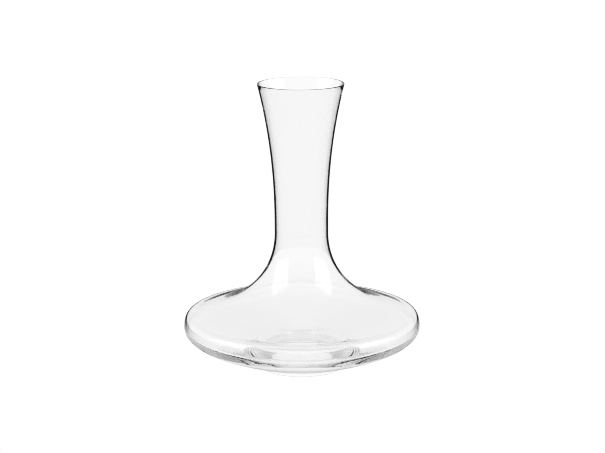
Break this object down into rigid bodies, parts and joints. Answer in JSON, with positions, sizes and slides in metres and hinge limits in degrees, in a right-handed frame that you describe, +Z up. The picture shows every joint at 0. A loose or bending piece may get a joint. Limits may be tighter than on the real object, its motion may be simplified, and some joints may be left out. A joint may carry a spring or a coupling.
{
  "type": "wine decanter",
  "caption": "Clear glass wine decanter with a wide flat bowl, a waisted neck flaring to an open rim, and a low foot with a deep, level-topped punt.",
  "frame": {"origin": "centre of the level ring that the foot stands on", "axes": "+Z up along the axis of revolution, towards the rim; X and Y are interchangeable"},
  "size_m": [0.22, 0.22, 0.2665],
  "materials": {
    "clear_glass": "clear, fire-polished"
  },
  "bodies": {
    "root": {"glass_vessel": "clear_glass"}
  },
  "joints": []
}
